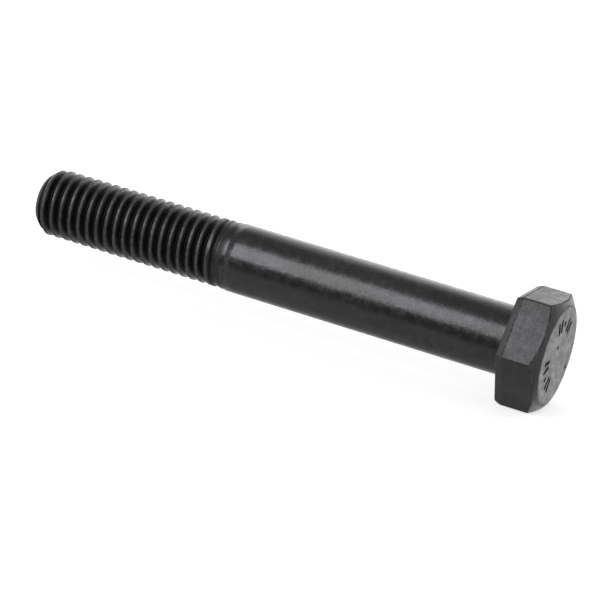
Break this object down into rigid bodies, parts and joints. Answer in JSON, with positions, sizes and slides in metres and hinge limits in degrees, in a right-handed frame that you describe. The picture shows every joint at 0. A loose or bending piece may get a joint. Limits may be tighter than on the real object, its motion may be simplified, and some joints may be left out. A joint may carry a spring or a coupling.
{
  "type": "hex head bolt",
  "caption": "Long part-threaded bolt with a chamfered hexagonal head, a plain cylindrical shank and a right-hand rolled metric thread with a chamfered point.",
  "frame": {"origin": "centre of the bearing face under the head, on the bolt's axis", "axes": "+X along the axis towards the top of the head, so the point is at X = -88.5 mm; +Z out of one flat of the hexagon; +Y towards a corner of the hexagon"},
  "size_m": [0.096, 0.0216, 0.0188],
  "materials": {
    "black_steel": "black oxide over forged and rolled steel, slightly oily sheen, rubbed brighter along the head's edges and the thread's crests"
  },
  "bodies": {
    "root": {"hex_bolt": "black_steel"}
  },
  "joints": []
}
